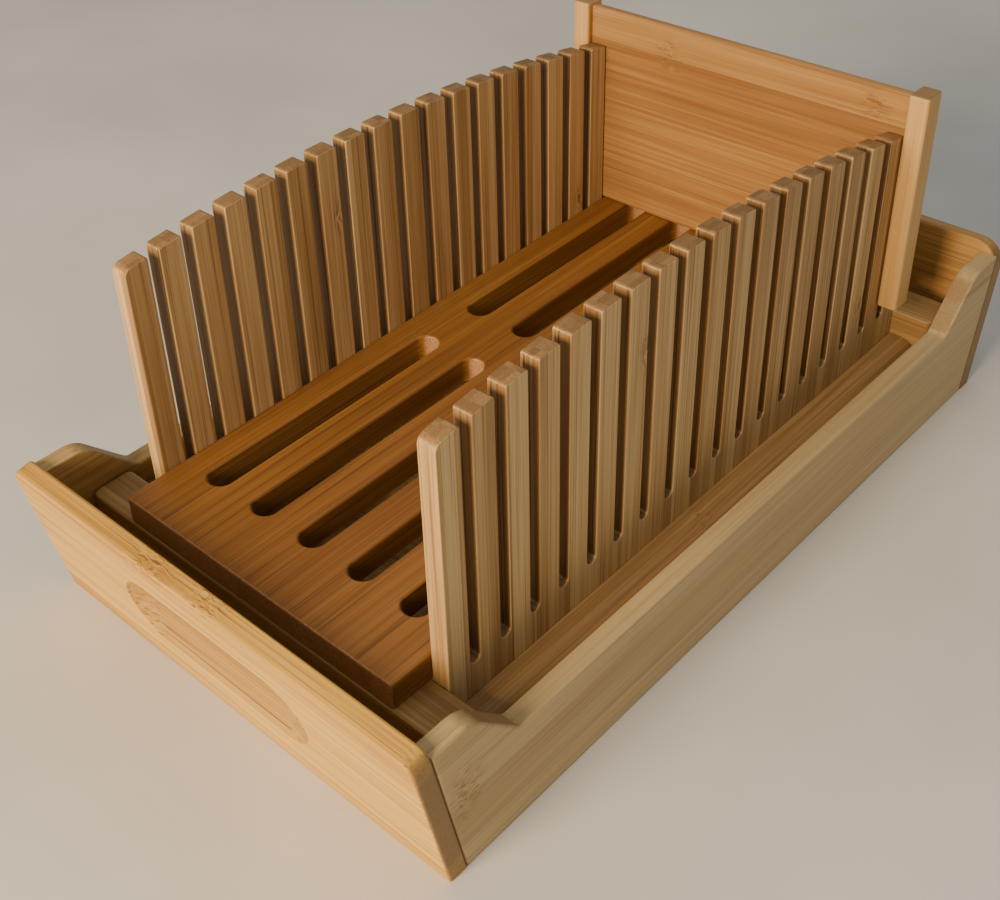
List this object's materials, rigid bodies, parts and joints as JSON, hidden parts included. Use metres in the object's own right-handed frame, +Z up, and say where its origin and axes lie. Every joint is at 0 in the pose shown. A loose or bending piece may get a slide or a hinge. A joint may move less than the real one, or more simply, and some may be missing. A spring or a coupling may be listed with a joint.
{
  "type": "bread slicer guide",
  "caption": "Bamboo bread slicer guide: slotted arched side panels on a raised board over a crumb tray with leaning end boards, and a lift-out backstop.",
  "frame": {"origin": "under the middle of the object, on the surface it stands on", "axes": "+X across the tray to the right, +Y from the front board to the rear board, +Z up"},
  "size_m": [0.1908, 0.3426, 0.141],
  "materials": {
    "tray_bamboo": "satin lacquered laminated bamboo",
    "floor_bamboo": "matt bamboo ply",
    "base_bamboo": "oiled laminated bamboo",
    "frame_bamboo": "satin lacquered bamboo strip",
    "panel_bamboo": "satin lacquered laminated bamboo",
    "backstop_bamboo": "satin lacquered bamboo ply",
    "dowel_beech": "raw turned beech",
    "screw_steel": "bright zinc plated"
  },
  "bodies": {
    "crumb_tray": {"tray_floor": "floor_bamboo", "tray_front_board": "tray_bamboo", "tray_rear_board": "tray_bamboo", "tray_left_wall": "tray_bamboo", "tray_right_wall": "tray_bamboo", "tray_corner_dowels": "dowel_beech"},
    "slicing_frame": {"base_board": "base_bamboo", "front_crossbar": "frame_bamboo", "rear_crossbar": "frame_bamboo", "left_rail": "frame_bamboo", "right_rail": "frame_bamboo", "left_slat_panel": "panel_bamboo", "right_slat_panel": "panel_bamboo", "rail_dowels": "dowel_beech", "base_screws": "screw_steel", "left_panel_screws": "screw_steel", "right_panel_screws": "screw_steel"},
    "backstop": {"backstop_board": "backstop_bamboo", "left_post": "frame_bamboo", "right_post": "frame_bamboo"}
  },
  "joints": [
    {"name": "frame_lift", "type": "slide", "parent": "crumb_tray", "child": "slicing_frame", "axis": [0, 0, 1], "range_m": [0, 0.08]},
    {"name": "backstop_lift", "type": "slide", "parent": "slicing_frame", "child": "backstop", "axis": [0, 0, 1], "range_m": [0, 0.09]}
  ]
}
